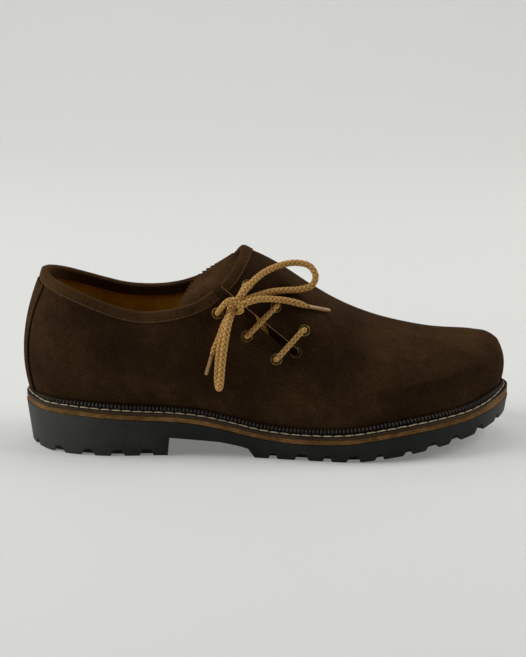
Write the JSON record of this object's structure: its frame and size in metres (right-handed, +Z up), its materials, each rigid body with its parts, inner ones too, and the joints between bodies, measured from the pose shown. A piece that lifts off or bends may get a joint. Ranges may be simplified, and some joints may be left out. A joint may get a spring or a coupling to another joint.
{
  "type": "traditional shoe",
  "caption": "Right-foot side-laced suede shoe with bound collar, diagonal lacing slit tied in a bow, stitched storm welt and lugged rubber sole.",
  "frame": {"origin": "on the floor, under the middle of the shoe's box without the bow", "axes": "+X from heel to toe, +Y towards the inner side of the foot, +Z up; the laced outer side faces -Y"},
  "size_m": [0.3062, 0.1106, 0.123],
  "materials": {
    "suede": "brown suede, short nap",
    "rubber": "matte black",
    "sole_leather": "cut edge",
    "lining_leather": "smooth tan",
    "welt_leather": "waxed dark brown",
    "antique_brass": "darkened brass",
    "lace_braid": "round braid",
    "lace_tip": "clear-coated"
  },
  "bodies": {
    "root": {"outsole": "rubber", "midsole": "sole_leather", "insole": "lining_leather", "welt": "welt_leather", "upper": "suede", "collar_band": "suede", "backstay": "suede", "tongue": "suede", "eyelet_quarter_1": "antique_brass", "eyelet_quarter_2": "antique_brass", "eyelet_quarter_3": "antique_brass", "eyelet_vamp_1": "antique_brass", "eyelet_vamp_2": "antique_brass", "eyelet_vamp_3": "antique_brass", "lace_bar_1": "lace_braid", "lace_bar_2": "lace_braid", "lace_bar_3": "lace_braid", "lace_knot": "lace_braid", "lace_loop_upper": "lace_braid", "lace_loop_lower": "lace_braid", "lace_end_upper": "lace_braid", "lace_end_lower": "lace_braid", "lace_tip_upper": "lace_tip", "lace_tip_lower": "lace_tip"}
  },
  "joints": []
}
